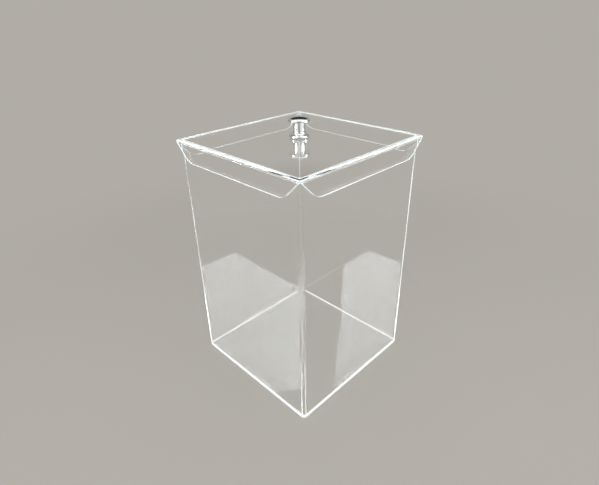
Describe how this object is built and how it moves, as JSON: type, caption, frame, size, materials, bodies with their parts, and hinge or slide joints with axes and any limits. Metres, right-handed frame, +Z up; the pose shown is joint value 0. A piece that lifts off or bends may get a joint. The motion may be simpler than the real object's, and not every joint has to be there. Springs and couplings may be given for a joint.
{
  "type": "donation box",
  "caption": "Tall clear sheet box with rounded bent corners and a lift-off clear lid with slanted flaps and a central metal knob.",
  "frame": {"origin": "middle of the underside of the base plate, on the surface the box stands on", "axes": "+Z up along the box; +X and +Y square to its walls; the walls' cemented seam is at the +X +Y corner"},
  "size_m": [0.2, 0.2, 0.326],
  "materials": {
    "clear_sheet": "clear cast acrylic, polished edges",
    "knob_plating": "bright chrome plate",
    "zinc_steel": "zinc-plated steel"
  },
  "bodies": {
    "box": {"base_plate": "clear_sheet", "wall_wrap": "clear_sheet"},
    "cover": {"lid": "clear_sheet", "knob": "knob_plating", "screw_washer": "zinc_steel", "knob_screw": "zinc_steel"}
  },
  "joints": [
    {"name": "lid_lift", "type": "slide", "parent": "box", "child": "cover", "axis": [0, 0, 1], "range_m": [0, 0.1]}
  ]
}
